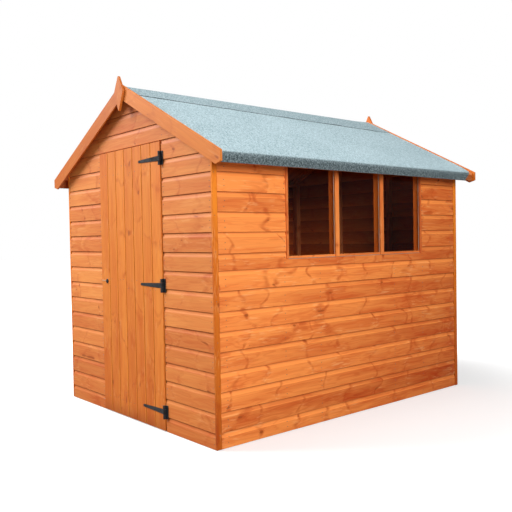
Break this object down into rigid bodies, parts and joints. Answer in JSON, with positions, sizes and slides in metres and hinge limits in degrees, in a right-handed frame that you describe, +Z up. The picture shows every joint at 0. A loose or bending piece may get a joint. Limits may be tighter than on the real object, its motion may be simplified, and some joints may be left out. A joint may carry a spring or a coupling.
{
  "type": "wooden garden shed",
  "caption": "Timber garden shed with shiplap walls, an apex felt roof, a hinged boarded door in the gable and a row of fixed panes in one side.",
  "frame": {"origin": "centre of the footprint on the ground, between the roof's overhangs", "axes": "+X towards the window wall, across the gables; +Y along the ridge, from the door gable to the back; +Z up"},
  "size_m": [2.066, 2.504, 2.2342],
  "materials": {
    "dipped_softwood": "orange dip-treated planed softwood, matt",
    "framing_softwood": "dip-treated rough softwood framing and boards, matt",
    "window_glass": "clear horticultural glass",
    "mineral_felt": "pale blue-grey mineral-chip bitumen roofing felt",
    "black_steel": "black japanned pressed steel"
  },
  "bodies": {
    "shed": {"back_wall": "dipped_softwood", "back_wall_studs": "framing_softwood", "barge_board_back_left": "dipped_softwood", "barge_board_back_right": "dipped_softwood", "barge_board_front_left": "dipped_softwood", "barge_board_front_right": "dipped_softwood", "corner_strip_back_left": "dipped_softwood", "corner_strip_back_right": "dipped_softwood", "corner_strip_front_left": "dipped_softwood", "corner_strip_front_right": "dipped_softwood", "cross_rails": "framing_softwood", "eaves_battens": "framing_softwood", "felt_left": "mineral_felt", "felt_right": "mineral_felt", "finial_back": "dipped_softwood", "finial_front": "dipped_softwood", "floor_bearers": "framing_softwood", "floor_boards": "framing_softwood", "front_gable": "dipped_softwood", "front_wall_left": "dipped_softwood", "front_wall_right": "dipped_softwood", "front_wall_studs": "framing_softwood", "gable_rafters": "framing_softwood", "hinge_plates": "black_steel", "plain_wall": "dipped_softwood", "plain_wall_studs": "framing_softwood", "ridge_felt": "mineral_felt", "roof_boards_left": "framing_softwood", "roof_boards_right": "framing_softwood", "roof_purlins": "framing_softwood", "sole_plates": "framing_softwood", "window_beads": "dipped_softwood", "window_pane_1": "window_glass", "window_pane_2": "window_glass", "window_pane_3": "window_glass", "window_sill": "dipped_softwood", "window_wall_back": "dipped_softwood", "window_wall_front": "dipped_softwood", "window_wall_head": "dipped_softwood", "window_wall_lower": "dipped_softwood", "window_wall_studs": "framing_softwood"},
    "door": {"door_boards": "dipped_softwood", "door_ledges": "dipped_softwood", "hinge_straps": "black_steel", "door_lock": "black_steel"}
  },
  "joints": [
    {"name": "door_hinge", "type": "hinge", "parent": "shed", "child": "door", "pos_m": [0.384, -1.203, 0.9], "axis": [0, 0, 1], "range_deg": [0, 170]}
  ]
}
